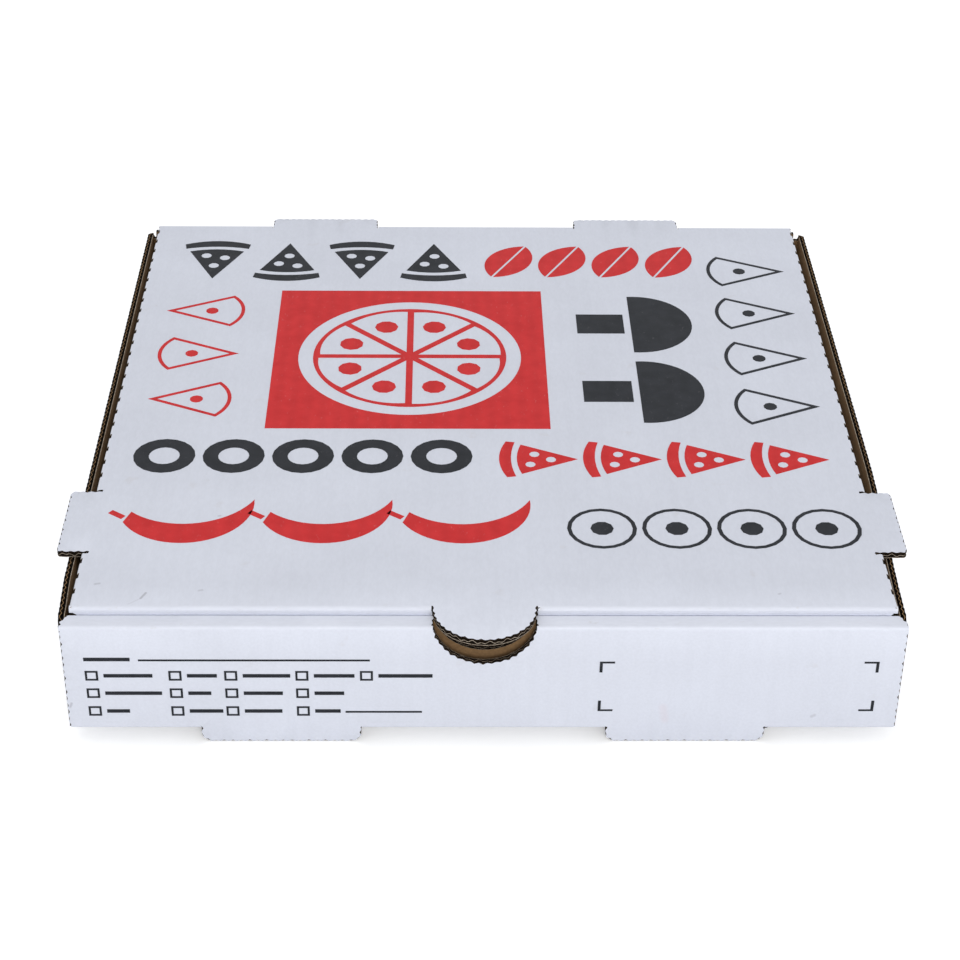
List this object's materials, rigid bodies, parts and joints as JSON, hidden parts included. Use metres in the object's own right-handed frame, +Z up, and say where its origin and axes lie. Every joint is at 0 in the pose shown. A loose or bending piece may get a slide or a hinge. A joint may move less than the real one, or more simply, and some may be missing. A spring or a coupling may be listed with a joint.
{
  "type": "corrugated pizza box",
  "caption": "Square one-piece corrugated pizza box with a hinged tuck-in lid, a rolled front wall, a finger notch and printed motifs.",
  "frame": {"origin": "centre of the bottom panel's underside", "axes": "+X across the box to the right as seen from the front, +Y from the rolled front wall to the hinge at the back, +Z up"},
  "size_m": [0.3234, 0.3328, 0.0564],
  "materials": {
    "white_board": "matt white liner on brown kraft corrugated board",
    "red_ink": "matt red flexographic ink",
    "charcoal_ink": "matt charcoal flexographic ink"
  },
  "bodies": {
    "tray": {"tray": "white_board", "front_print": "charcoal_ink"},
    "lid": {"lid": "white_board", "lid_print_red": "red_ink", "lid_print_charcoal": "charcoal_ink"}
  },
  "joints": [
    {"name": "lid_hinge", "type": "hinge", "parent": "tray", "child": "lid", "pos_m": [0, 0.15755, 0.0499], "axis": [-1, 0, 0], "range_deg": [0, 180]}
  ]
}
